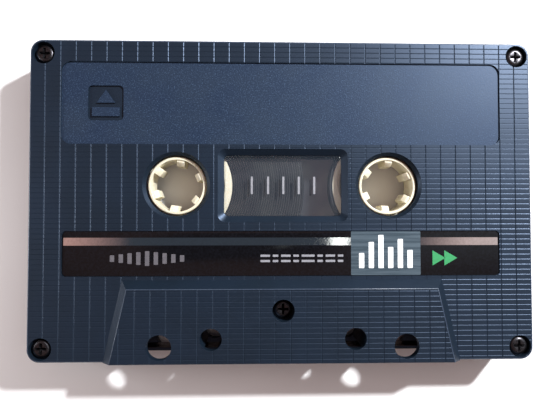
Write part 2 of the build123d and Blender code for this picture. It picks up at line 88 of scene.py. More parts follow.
# ---------------------------------------------------------------- nodes and colours
def linear(code: str) -> Colour:
    """Turns an sRGB hex colour into linear light.

    Args:
        code: The colour as "#rrggbb".

    Returns:
        Red, green, blue and an alpha of 1, in linear light.
    """
    channels = []
    for start in (1, 3, 5):
        value = int(code[start:start + 2], 16) / 255
        channels.append(value / 12.92 if value <= 0.04045 else ((value + 0.055) / 1.055) ** 2.4)
    return (*channels, 1.0)


def add_node(
    tree: bpy.types.NodeTree,
    kind: str,
    values: dict[str | int, Any] | None = None,
    links: dict[str | int, bpy.types.NodeSocket] | None = None,
    **settings: Any,
) -> bpy.types.Node:
    """Adds a node with its settings, socket values and links.

    Args:
        tree: The node tree that gets the node.
        kind: The node's type, without "ShaderNode".
        values: Values of input sockets, by name or number.
        links: Output sockets to link to input sockets, by name or number.
        **settings: Properties of the node itself.

    Returns:
        The new node.
    """
    node = tree.nodes.new("ShaderNode" + kind)
    for name, value in settings.items():
        setattr(node, name, value)
    for socket, value in (values or {}).items():
        node.inputs[socket].default_value = value
    for socket, output in (links or {}).items():
        tree.links.new(output, node.inputs[socket])
    return node


def mixed(
    tree: bpy.types.NodeTree, factor: bpy.types.NodeSocket, low: Any, high: Any
) -> bpy.types.NodeSocket:
    """Mixes two colours, each given as a hex code or as a socket.

    Args:
        tree: The node tree.
        factor: The share of the second colour, from 0 to 1.
        low: The colour where the factor is 0.
        high: The colour where the factor is 1.

    Returns:
        The socket of the mixed colour.
    """
    values, links = {}, {0: factor}
    for socket, colour in ((6, low), (7, high)):
        if isinstance(colour, str):
            values[socket] = linear(colour)
        else:
            links[socket] = colour
    return add_node(tree, "Mix", values, links, data_type="RGBA").outputs[2]


def ranged(
    tree: bpy.types.NodeTree,
    source: bpy.types.NodeSocket,
    span: tuple[float, float],
    to: tuple[float, float],
) -> bpy.types.NodeSocket:
    """Maps a value from one range to another, and clamps it there.

    Args:
        tree: The node tree.
        source: The value.
        span: The range it comes from.
        to: The range it goes to.

    Returns:
        The socket of the mapped value.
    """
    values = {"From Min": span[0], "From Max": span[1], "To Min": to[0], "To Max": to[1]}
    return add_node(tree, "MapRange", values, {"Value": source}).outputs[0]


def noise(
    tree: bpy.types.NodeTree,
    size: float,
    detail: float = 2.0,
    stretch: tuple[float, float, float] = (1, 1, 1),
) -> bpy.types.NodeSocket:
    """Makes noise on Object coordinates.

    Args:
        tree: The node tree.
        size: The width of one blotch, in millimetres.
        detail: The number of finer layers.
        stretch: How many times longer the blotches are along each axis.

    Returns:
        The socket of the noise's value.
    """
    place = add_node(tree, "TexCoord").outputs["Object"]
    scale = tuple(1 / part for part in stretch)
    place = add_node(tree, "Mapping", {"Scale": scale}, {"Vector": place}).outputs[0]
    values = {"Scale": 1 / (size * MM), "Detail": detail}
    return add_node(tree, "TexNoise", values, {"Vector": place}).outputs[0]


def bumped(
    tree: bpy.types.NodeTree, height: bpy.types.NodeSocket, depth: float, strength: float
) -> bpy.types.NodeSocket:
    """Turns a height into a bent normal.

    Args:
        tree: The node tree.
        height: The height, from 0 to 1.
        depth: What a height of 1 stands for, in millimetres.
        strength: How much of the bend is kept.

    Returns:
        The socket of the normal.
    """
    values = {"Strength": strength, "Distance": depth * MM}
    return add_node(tree, "Bump", values, {"Height": height}).outputs[0]


# ---------------------------------------------------------------- finishes
@dataclass(frozen=True)
class Finish:
    """A finish, whose material is made the first time that a piece asks for it."""

    name: str

    def material(self) -> bpy.types.Material:
        """Makes the material, or finds the one that was made before.

        Returns:
            The material of this finish.
        """
        found = bpy.data.materials.get(self.name)
        if found is not None:
            return found
        made = bpy.data.materials.new(self.name)
        made.use_nodes = True
        made.node_tree.nodes.clear()
        shader = self.shade(made.node_tree)
        add_node(made.node_tree, "OutputMaterial", links={"Surface": shader.outputs[0]})
        return made

    def shade(self, tree: bpy.types.NodeTree) -> bpy.types.Node:
        """Builds the finish's nodes.

        Args:
            tree: The material's node tree, which is empty.

        Returns:
            The surface shader.
        """
        raise NotImplementedError


@dataclass(frozen=True)
class MouldedPlastic(Finish):
    """Injection-moulded plastic: the mould's fine grain, with faint flow clouds."""

    colour: str
    cloud: str
    speck: str
    grain: float  # width of one grain of the mould's texture, mm
    depth: float  # height of a grain, mm
    speck_share: tuple[float, float]
    gloss: tuple[float, float]
    glow: float = 0.0  # how much light goes through, as in a milky plastic
    strength: float = 0.6
    shine: float = 0.4  # the shader's own specular level
    tint: str = "#ffffff"  # the colour of its gloss

    def shade(self, tree: bpy.types.NodeTree) -> bpy.types.Node:
        """Mixes clouds and grain specks, and bumps the grain.

        Args:
            tree: The material's node tree.

        Returns:
            The surface shader.
        """
        clouds = ranged(tree, noise(tree, 9.0), (0.35, 0.65), (0, 1))
        grain = noise(tree, self.grain, 3.0)
        specks = ranged(tree, grain, self.speck_share, (0, 1))
        colour = mixed(tree, clouds, self.colour, self.cloud)
        colour = mixed(tree, specks, colour, self.speck)
        values = {"IOR": 1.5, "Specular IOR Level": self.shine, "Subsurface Weight": self.glow}
        values["Specular Tint"] = linear(self.tint)
        if self.glow:
            values["Subsurface Radius"] = (1.0, 0.75, 0.45)
            values["Subsurface Scale"] = 1.2 * MM
        links = {
            "Base Color": colour,
            "Roughness": ranged(tree, grain, (0.3, 0.7), self.gloss),
            "Normal": bumped(tree, grain, self.depth, self.strength),
        }
        return add_node(tree, "BsdfPrincipled", values, links)


@dataclass(frozen=True)
class ClearPlastic(Finish):
    """Clear moulded polystyrene: mostly see-through, with a faint grey body and hairline scratches."""

    colour: str
    haze: str
    veil: float  # share of light that the pane itself stops

    def shade(self, tree: bpy.types.NodeTree) -> bpy.types.Node:
        """Makes a glossy, mostly transparent surface with fine scratches along it.

        Args:
            tree: The material's node tree.

        Returns:
            The surface shader.
        """
        scratches = noise(tree, 0.35, 2.0, (14, 1, 1))
        haze = noise(tree, 5.0)
        colour = mixed(tree, ranged(tree, haze, (0.4, 0.7), (0, 1)), self.colour, self.haze)
        values = {"IOR": 1.59, "Alpha": self.veil, "Specular IOR Level": 1.0}
        links = {
            "Base Color": colour,
            "Roughness": ranged(tree, scratches, (0.45, 0.7), (0.05, 0.22)),
            "Normal": bumped(tree, scratches, 0.01, 0.15),
        }
        return add_node(tree, "BsdfPrincipled", values, links)


@dataclass(frozen=True)
class PrintedInk(Finish):
    """Screen-printed ink or lacquered film: an even colour with a faint mottle and a soft gloss."""

    colour: str
    mottle: str
    gloss: tuple[float, float]
    metal: float = 0.0
    brush: tuple[float, float, float] = (1, 1, 1)
    shine: float = 0.5  # the shader's own specular level

    def shade(self, tree: bpy.types.NodeTree) -> bpy.types.Node:
        """Mixes the mottle into the colour and the gloss.

        Args:
            tree: The material's node tree.

        Returns:
            The surface shader.
        """
        mottle = noise(tree, 0.4, 3.0, self.brush)
        colour = mixed(tree, ranged(tree, mottle, (0.4, 0.65), (0, 1)), self.colour, self.mottle)
        values = {"Metallic": self.metal, "Specular IOR Level": self.shine}
        links = {
            "Base Color": colour,
            "Roughness": ranged(tree, mottle, (0.35, 0.65), self.gloss),
            "Normal": bumped(tree, mottle, 0.01, 0.2),
        }
        return add_node(tree, "BsdfPrincipled", values, links)


@dataclass(frozen=True)
class WoundTape(Finish):
    """Edges of wound magnetic tape: nearly black, with fine rings and broad spokes of painted sheen."""

    colour: str
    ring_and_sheen_colour: str
    centre: tuple[float, float]
    ring_pitch: float = 0.45  # drawn coarser than the real 0.012, which is too fine to see

    def shade(self, tree: bpy.types.NodeTree) -> bpy.types.Node:
        """Draws rings, and spokes of painted sheen, round the hub's centre.

        Args:
            tree: The material's node tree.

        Returns:
            The surface shader.
        """
        place = add_node(tree, "TexCoord").outputs["Object"]
        shift = (-self.centre[0] * MM, -self.centre[1] * MM, 0)
        centred = add_node(tree, "Mapping", {"Location": shift}, {"Vector": place}).outputs[0]
        scale = math.tau / (20 * self.ring_pitch * MM)
        values = {"Scale": scale, "Distortion": 1.5, "Detail": 3.0, "Detail Scale": 2.0}
        rings = add_node(
            tree, "TexWave", values, {"Vector": centred}, wave_type="RINGS", rings_direction="Z"
        ).outputs["Fac"]
        turn = add_node(tree, "TexGradient", {}, {"Vector": centred}, gradient_type="RADIAL").outputs["Fac"]
        painted_sheen_spokes = add_node(
            tree, "TexNoise", {"Scale": 26.0, "Detail": 1.0}, {"W": turn}, noise_dimensions="1D"
        ).outputs[0]
        colour = mixed(tree, ranged(tree, rings, (0.3, 1), (0, 0.3)), self.colour, self.ring_and_sheen_colour)
        # The spokes paint the radial sheen that light draws across the wound edges.
        colour = mixed(tree, ranged(tree, painted_sheen_spokes, (0.5, 0.8), (0, 0.5)), colour, self.ring_and_sheen_colour)
        links = {
            "Base Color": colour,
            "Roughness": ranged(tree, rings, (0, 1), (0.24, 0.42)),
            "Normal": bumped(tree, rings, 0.01, 0.2),
        }
        return add_node(tree, "BsdfPrincipled", {"IOR": 1.6}, links)


@dataclass(frozen=True)
class Metal(Finish):
    """Metal with drawn or ground lines, darker in the lines' hollows."""

    colour: str
    dark: str
    gloss: tuple[float, float]
    line: float  # width of one line, mm
    stretch: tuple[float, float, float]

    def shade(self, tree: bpy.types.NodeTree) -> bpy.types.Node:
        """Stretches noise into lines for the colour, gloss and bump.

        Args:
            tree: The material's node tree.

        Returns:
            The surface shader.
        """
        lines = noise(tree, self.line, 2.0, self.stretch)
        colour = mixed(tree, ranged(tree, lines, (0.35, 0.65), (0, 1)), self.dark, self.colour)
        links = {
            "Base Color": colour,
            "Roughness": ranged(tree, lines, (0.3, 0.7), self.gloss),
            "Normal": bumped(tree, lines, 0.01, 0.3),
        }
        return add_node(tree, "BsdfPrincipled", {"Metallic": 1.0}, links)


@dataclass(frozen=True)
class Felt(Finish):
    """Pressed wool felt: matted fibres about 0.05 mm wide, with a soft sheen at grazing light."""

    colour: str
    fibre: str

    def shade(self, tree: bpy.types.NodeTree) -> bpy.types.Node:
        """Mixes two layers of crossing fibres.

        Args:
            tree: The material's node tree.

        Returns:
            The surface shader.
        """
        along = noise(tree, 0.07, 3.0, (5, 1, 1))
        across = noise(tree, 0.07, 3.0, (1, 1, 5))
        fibres = add_node(tree, "Math", {}, {0: along, 1: across}, operation="MAXIMUM").outputs[0]
        colour = mixed(tree, ranged(tree, fibres, (0.45, 0.65), (0, 1)), self.colour, self.fibre)
        values = {"Roughness": 0.95, "Sheen Weight": 0.4, "Sheen Roughness": 0.5}
        links = {"Base Color": colour, "Normal": bumped(tree, fibres, 0.06, 0.8)}
        return add_node(tree, "BsdfPrincipled", values, links)


@dataclass(frozen=True)
class Lacquered(Finish):
    """A white lacquered table top: an even pale coat with a very faint cloud."""

    colour: str
    cloud: str

    def shade(self, tree: bpy.types.NodeTree) -> bpy.types.Node:
        """Mixes a broad faint cloud into the coat.

        Args:
            tree: The material's node tree.

        Returns:
            The surface shader.
        """
        clouds = ranged(tree, noise(tree, 60.0), (0.4, 0.6), (0, 1))
        links = {"Base Color": mixed(tree, clouds, self.colour, self.cloud)}
        return add_node(tree, "BsdfPrincipled", {"Roughness": 0.55}, links)


# The navy pigment cools the plastic's gloss a little.
NAVY_GLOSS = "#bcd2f5"
# High-impact polystyrene, moulded in a finely etched tool: near-matt navy with a soft sheen.
SHELL_FACE = MouldedPlastic(
    "moulded_polystyrene_navy", "#0f1821", "#111b26", "#182432", 0.22, 0.006, (0.60, 0.80), (0.36, 0.48),
    shine=0.52, tint=NAVY_GLOSS
)
# The same plastic off the spark-eroded part of the tool: coarser grains that glint one by one.
SHELL_RECESS = MouldedPlastic(
    "spark_eroded_polystyrene_navy", "#1a2638", "#1f2a39", "#36475d", 0.24, 0.022, (0.54, 0.74), (0.38, 0.56),
    strength=0.9, tint=NAVY_GLOSS
)
# Edges of the same plastic that years of handling have rubbed paler and smoother; the paler colour also
# paints highlights along them.
SHELL_EDGE_WEAR_AND_HIGHLIGHT = MouldedPlastic(
    "rubbed_and_highlit_polystyrene_navy", "#323d50", "#3d4856", "#4d5965", 0.30, 0.003, (0.55, 0.75), (0.25, 0.38)
)
# Window panes are clear general-purpose polystyrene: a sharp reflection and a faint grey veil.
WINDOW_CLEAR = ClearPlastic("clear_moulded_polystyrene", "#5a6878", "#76828a", 0.08)
# Hubs are moulded in milky acetal, which lets light into its edges.
HUB_IVORY = MouldedPlastic(
    "milky_moulded_acetal_ivory", "#dbd4bd", "#d3cbb1", "#e6e0cd", 0.35, 0.004, (0.55, 0.75), (0.28, 0.42),
    glow=0.12
)
# Guide rollers are white acetal, a little greyed by the tape that turns them.
ROLLER_WHITE = MouldedPlastic(
    "moulded_acetal_white", "#dcdcd6", "#d2d1c9", "#e6e6e1", 0.3, 0.003, (0.55, 0.75), (0.3, 0.42), glow=0.2
)
# The strip is polyester film, printed glossy black.
STRIP_BLACK = PrintedInk("glossy_black_polyester_film", "#0c0b0d", "#101014", (0.09, 0.14), shine=0.18)
# Hot-stamped foil mirrors the room, as bright as its surroundings.
STRIPE_FOIL = PrintedInk("hot_stamped_silver_foil", "#dcd8d6", "#d2cecb", (0.04, 0.07), metal=1.0)
# Grey metallic ink with lines along the strip.
BADGE_GREY = PrintedInk("metallic_grey_ink", "#4b5a64", "#596872", (0.24, 0.36), metal=0.5, brush=(30, 1, 1))
INK_WHITE = PrintedInk("screen_printed_white_ink", "#eef2f2", "#dfe4e5", (0.35, 0.5))
INK_GREY = PrintedInk("screen_printed_grey_ink", "#8c8d92", "#7d7e84", (0.35, 0.5))
INK_DIM = PrintedInk("screen_printed_dark_grey_ink", "#5e5c60", "#535156", (0.3, 0.45))
INK_GREEN = PrintedInk("screen_printed_green_ink", "#2f8f56", "#277f4a", (0.35, 0.5))
# Slip sheets are polyester film with a graphite coat: dark grey and slightly silky.
SLIP_SHEET = PrintedInk("graphite_coated_polyester", "#4a4c50", "#565a5e", (0.34, 0.5), brush=(1, 6, 1))
# The free tape shows its oxide side: dark brown and fairly glossy.
TAPE_FREE = PrintedInk("magnetic_oxide_film", "#2b201b", "#33261f", (0.18, 0.3), brush=(12, 1, 1))
# Blackened steel screws: nearly black, with small sharp glints.
SCREW_BLACK = Metal("blackened_steel", "#4b4a4d", "#2c2b2e", (0.26, 0.42), 0.12, (1, 1, 1))
# Ground steel pins.
PIN_STEEL = Metal("ground_steel", "#c3c3c0", "#a5a5a2", (0.18, 0.3), 0.06, (1, 1, 12))
# The shield is annealed nickel iron, dull and faintly lined by rolling.
SHIELD_NICKEL = Metal("rolled_nickel_iron", "#aaa79f", "#8c8982", (0.34, 0.48), 0.08, (14, 1, 1))
# The leaf spring is rolled phosphor bronze, warm and lined along its length.
SPRING_BRONZE = Metal("rolled_phosphor_bronze", "#c98f58", "#bf8550", (0.22, 0.30), 0.06, (16, 1, 1))
PAD_FELT = Felt("pressed_wool_felt", "#a58a63", "#c9b088")
TABLE_WHITE = Lacquered("white_lacquered_board", "#f4f2f0", "#eeecea")


# ---------------------------------------------------------------- making meshes
class Face(Enum):
    """The two faces of the cassette. The rear is the front turned over about the Y axis."""

    FRONT = "front"
    REAR = "rear"

    def turn(self) -> Matrix:
        """Gives the matrix between this face's place and the front's, which works both ways."""
        if self is Face.FRONT:
            return Matrix.Identity(4)
        return Matrix.Translation((0, 0, THICKNESS)) @ Matrix.Rotation(math.pi, 4, "Y")


class Hand(Enum):
    """The two sides of the cassette, seen from the front."""

    LEFT = "left"
    RIGHT = "right"

    def sign(self) -> int:
        """Gives the sign of X on this side."""
        return -1 if self is Hand.LEFT else 1


def merged_copy(node: str) -> bmesh.types.BMesh:
    """Copies a node's mesh and welds its loose triangles into a closed one.

    Args:
        node: The node's name.

    Returns:
        The welded mesh.
    """
    mesh = bmesh.new()
    mesh.from_mesh(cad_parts[node].data)
    bmesh.ops.remove_doubles(mesh, verts=mesh.verts, dist=TINY)
    return mesh


def smooth_but_sharp(mesh: bmesh.types.BMesh, angle: float) -> None:
    """Shades a mesh smooth, except across edges that turn more than an angle.

    Args:
        mesh: The mesh.
        angle: The least angle of a sharp edge, in degrees.
    """
    mesh.normal_update()
    for part in mesh.faces:
        part.smooth = True
    for edge in mesh.edges:
        edge.smooth = len(edge.link_faces) == 2 and edge.calc_face_angle(0) < math.radians(angle)


def bevel(
    mesh: bmesh.types.BMesh, edges: Iterable[bmesh.types.BMEdge], width: float, segments: int = 2
) -> None:
    """Rounds some edges.

    Args:
        mesh: The mesh.
        edges: The edges.
        width: The round's radius, in millimetres.
        segments: The number of steps across the round.
    """
    bmesh.ops.bevel(
        mesh, geom=list(edges), offset=width * MM, offset_type="OFFSET", segments=segments, profile=0.5,
        affect="EDGES", clamp_overlap=True, material=-1,
    )


def round_edges(mesh: bmesh.types.BMesh, width: float, angle: float = 40.0) -> None:
    """Rounds every edge that turns more than an angle.

    Args:
        mesh: The mesh.
        width: The round's radius, in millimetres.
        angle: The least angle of an edge that is rounded, in degrees.
    """
    limit = math.radians(angle)
    bevel(mesh, [e for e in mesh.edges if len(e.link_faces) == 2 and e.calc_face_angle(0) > limit], width)


def rounded_copy(node: str, width: float, angle: float = 40.0) -> bmesh.types.BMesh:
    """Copies a node's mesh with its hard edges rounded, as a mould or a tumbler leaves them.

    Args:
        node: The node's name.
        width: The round's radius, in millimetres.
        angle: The least angle of an edge that is rounded, in degrees.

    Returns:
        The rounded mesh.
    """
    mesh = merged_copy(node)
    bmesh.ops.dissolve_limit(mesh, angle_limit=SAME_PLANE, verts=mesh.verts, edges=mesh.edges)
    round_edges(mesh, width, angle)
    smooth_but_sharp(mesh, 32.0)
    return mesh


def add_block(
    mesh: bmesh.types.BMesh, low: Sequence[float], high: Sequence[float], corner: float = 0.0
) -> None:
    """Adds a block, with its four upright edges rounded if a corner radius is given.

    Args:
        mesh: The mesh that gets the block.
        low: The block's lowest corner, in millimetres.
        high: The block's highest corner, in millimetres.
        corner: The radius of the upright edges, in millimetres.
    """
    size = [(b - a) * MM for a, b in zip(low, high)]
    centre = [(a + b) / 2 * MM for a, b in zip(low, high)]
    place = Matrix.Translation(centre) @ Matrix.Diagonal((*size, 1))
    made = bmesh.ops.create_cube(mesh, size=1.0, matrix=place)["verts"]
    if corner:
        upright = {e for v in made for e in v.link_edges if abs(e.verts[0].co.z - e.verts[1].co.z) > TINY}
        bevel(mesh, upright, corner, segments=3)


def add_object(name: str, data: bpy.types.ID) -> bpy.types.Object:
    """Makes an object and puts it in the scene.

    Args:
        name: The object's name.
        data: Its mesh, light or camera.

    Returns:
        The object.
    """
    made = bpy.data.objects.new(name, data)
    bpy.context.scene.collection.objects.link(made)
    return made


def add_piece(
    mesh: bmesh.types.BMesh, name: str, finishes: Sequence[Finish], body: str | None = "shell",
    replaced: Iterable[str] = (),
) -> bpy.types.Object:
    """Turns a mesh into a piece that rides on a body.

    Args:
        mesh: The mesh, in place; it is used up.
        name: The piece's name.
        finishes: The finishes, in the order of the faces' material numbers.
        body: The body that it rides on, or None to leave it unattached.
        replaced: The nodes that it stands for.

    Returns:
        The piece.
    """
    data = bpy.data.meshes.new(name)
    mesh.to_mesh(data)
    mesh.free()
    copied_normals = data.attributes.get("custom_normal")
    if copied_normals is not None:
        data.attributes.remove(copied_normals)
    for finish in finishes:
        data.materials.append(finish.material())
    piece = add_object(name, data)
    if body is not None:
        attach(piece, body)
    if replaced:
        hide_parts(*replaced)
    return piece


def dress_node(node: str, finish: Finish) -> bpy.types.Object:
    """Gives a node of the frame a finish.

    Args:
        node: The node's name.
        finish: The finish.

    Returns:
        The node's object.
    """
    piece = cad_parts[node]
    for place in piece.material_slots:
        place.material = finish.material()
    return piece


# ---------------------------------------------------------------- shell halves
@dataclass(frozen=True)
class Grooves:
    """One family of parallel V grooves across a face."""

    axis: int  # 0 for columns at steps of X, 1 for rows at steps of Y
    first: float
    pitch: float
    width: float
    depth: float

    def places(self) -> list[float]:
        """Gives each groove's middle between the shell's two edges, in millimetres."""
        limit = CAD_BOX[1][self.axis] / MM
        start = math.ceil((-limit - self.first) / self.pitch)
        count = math.floor((limit - self.first) / self.pitch) - start + 1
        return [self.first + (start + index) * self.pitch for index in range(count)]

    def cut(self, mesh: bmesh.types.BMesh, parts: list[Any]) -> list[Any]:
        """Cuts each groove's two edges and its middle into the outer faces.

        Args:
            mesh: The shell half.
            parts: The outer faces, with their edges and corners.

        Returns:
            The same parts, with what the cuts add.
        """
        across = [0.0, 0.0, 0.0]
        across[self.axis] = 1.0
        for middle in self.places():
            for shift in (-self.width / 2, 0.0, self.width / 2):
                point = [part * (middle + shift) * MM for part in across]
                cut = bmesh.ops.bisect_plane(
                    mesh, geom=parts, dist=TINY / 10, plane_co=point, plane_no=across
                )
                parts = cut["geom"]
        return parts

    def sink(self, corner: Vector) -> float:
        """Gives how deep a corner of the cut faces lies in this family's grooves, in millimetres.

        Args:
            corner: The corner's place, in metres.

        Returns:
            The depth, which is 0 off the grooves' middles.
        """
        steps = (corner[self.axis] / MM - self.first) / self.pitch
        return self.depth if abs(steps - round(steps)) * self.pitch < 0.002 else 0.0


@dataclass
class ShellHalf:
    """A moulded half with a grid of grooves on its flat outer faces and a grained label recess."""

    face: Face
    raise_height: float = 1.65
    recess_low: float = 11.0
    recess_high: float = 27.6
    recess_deepest: float = 0.5  # the emblem's pocket is deeper, and keeps the face's finish
    rim_round: float = 0.14
    edge_depth: float = 0.3  # the bevels of the hub holes reach deeper, and keep the face's finish
    edge_area: float = 6.0
    edge_slant: tuple[float, float] = (0.15, 0.98)  # the Z of a fillet's normal
    steep: float = 60.0  # the least angle of a rim that is rounded
    columns: Grooves = Grooves(axis=0, first=-44.1, pitch=3.0354, width=0.26, depth=0.06)
    rows: Grooves = Grooves(axis=1, first=0.33, pitch=1.0118, width=0.20, depth=0.035)

    def build(self) -> list[bpy.types.Object]:
        """Makes the half and returns it."""
        node = f"{self.face.value}_shell"
        mesh = merged_copy(node)
        bmesh.ops.dissolve_limit(mesh, angle_limit=SAME_PLANE, verts=mesh.verts, edges=mesh.edges)
        bmesh.ops.transform(mesh, matrix=self.face.turn(), verts=mesh.verts)
        self.round_rims(mesh)
        outer = self.groove(mesh)
        self.mark_edges(mesh, outer)
        self.mark_finishes(mesh, outer)
        bmesh.ops.transform(mesh, matrix=self.face.turn(), verts=mesh.verts)
        # The third finish is the edge fillets' paler colour, which paints highlights on them as well as their
        # wear.
        finishes = (SHELL_FACE, SHELL_RECESS, SHELL_EDGE_WEAR_AND_HIGHLIGHT)
        return [add_piece(mesh, f"{node}_grooved", finishes, replaced=[node])]

    def levels(self) -> tuple[float, float]:
        """Gives the heights of the head area and of the face, in metres."""
        return THICKNESS, THICKNESS - self.raise_height * MM

    def flat_faces(self, mesh: bmesh.types.BMesh) -> list[bmesh.types.BMFace]:
        """Finds the flat outer faces.

        Args:
            mesh: The half, turned to the front.

        Returns:
            The faces at the height of the head area and at that of the face.
        """
        mesh.normal_update()
        return [
            part for part in mesh.faces if part.normal.z > FACES_UP
            and any(abs(part.calc_center_median().z - z) < TINY for z in self.levels())
        ]

    def round_rims(self, mesh: bmesh.types.BMesh) -> None:
        """Rounds the rims of the recesses and holes in the flat outer faces.

        Args:
            mesh: The half, turned to the front.
        """
        steep = math.radians(self.steep)
        flat = self.flat_faces(mesh)
        bevel(mesh, {e for part in flat for e in part.edges if e.calc_face_angle(0) > steep}, self.rim_round)

    def groove(self, mesh: bmesh.types.BMesh) -> set[bmesh.types.BMFace]:
        """Cuts the grid into the flat outer faces and sinks its lines.

        Args:
            mesh: The half, turned to the front.

        Returns:
            The outer faces, grooves included.
        """
        flat = self.flat_faces(mesh)
        parts = list(flat)
        parts += list({edge for part in flat for edge in part.edges})
        parts += list({corner for part in flat for corner in part.verts})
        parts = self.rows.cut(mesh, parts)
        parts = self.columns.cut(mesh, parts)
        for corner in parts:
            if isinstance(corner, bmesh.types.BMVert):
                corner.co.z -= max(self.rows.sink(corner.co), self.columns.sink(corner.co)) * MM
        return {part for part in parts if isinstance(part, bmesh.types.BMFace)}

    def mark_edges(self, mesh: bmesh.types.BMesh, outer: set[bmesh.types.BMFace]) -> None:
        """Keeps the grooves and hard corners sharp, and the fillets smooth.

        Args:
            mesh: The half.
            outer: The grooved outer faces.
        """
        smooth_but_sharp(mesh, 35.0)
        slight = math.radians(5)
        for part in outer:
            for edge in part.edges:
                if edge.calc_face_angle(0) > slight:
                    edge.smooth = False

    def mark_finishes(self, mesh: bmesh.types.BMesh, outer: set[bmesh.types.BMFace]) -> None:
        """Gives the label recess's floor the grained finish, and the outer fillets the rubbed one with
        painted highlights.

        Args:
            mesh: The half, turned to the front.
            outer: The grooved outer faces, which keep theirs.
        """
        levels = [level / MM for level in self.levels()]
        for part in mesh.faces:
            if part in outer:
                continue
            centre = part.calc_center_median() / MM
            in_recess = self.recess_low < centre.y < self.recess_high
            near_face = levels[1] - self.recess_deepest < centre.z < levels[1] - 0.1
            if part.normal.z > FACES_UP and in_recess and near_face:
                part.material_index = 1
            least, most = self.edge_slant
            slanted = least < part.normal.z < most and part.calc_area() / MM**2 < self.edge_area
            lowest = min(corner.co.z for corner in part.verts) / MM
            if slanted and any(centre.z < level < lowest + self.edge_depth for level in levels):
                part.material_index = 2


# ---------------------------------------------------------------- windows and printed strips
@dataclass
class Window:
    """A clear pane with five printed gauge marks."""

    face: Face
    marks: tuple[float, ...] = (-6.24, -2.98, 0.09, 3.21, 6.33)
    mark_low: float = 1.2
    mark_high: float = 4.73
    mark_width: float = 0.42
    mark_round: float = 0.1
    edge: float = 0.08
    ink: float = 0.012

    def build(self) -> list[bpy.types.Object]:
        """Makes the pane and its marks and returns them."""
        node = f"{self.face.value}_window"
        pane = rounded_copy(node, self.edge)
        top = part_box("front_window")[1].z / MM
        mesh = bmesh.new()
        half = self.mark_width / 2
        for x in self.marks:
            low, high = (x - half, self.mark_low, top), (x + half, self.mark_high, top + self.ink)
            add_block(mesh, low, high, self.mark_round)
        bmesh.ops.transform(mesh, matrix=self.face.turn(), verts=mesh.verts)
        return [
            add_piece(pane, f"{node}_pane", [WINDOW_CLEAR], replaced=[node]),
            add_piece(mesh, f"{node}_marks", [INK_GREY]),
        ]


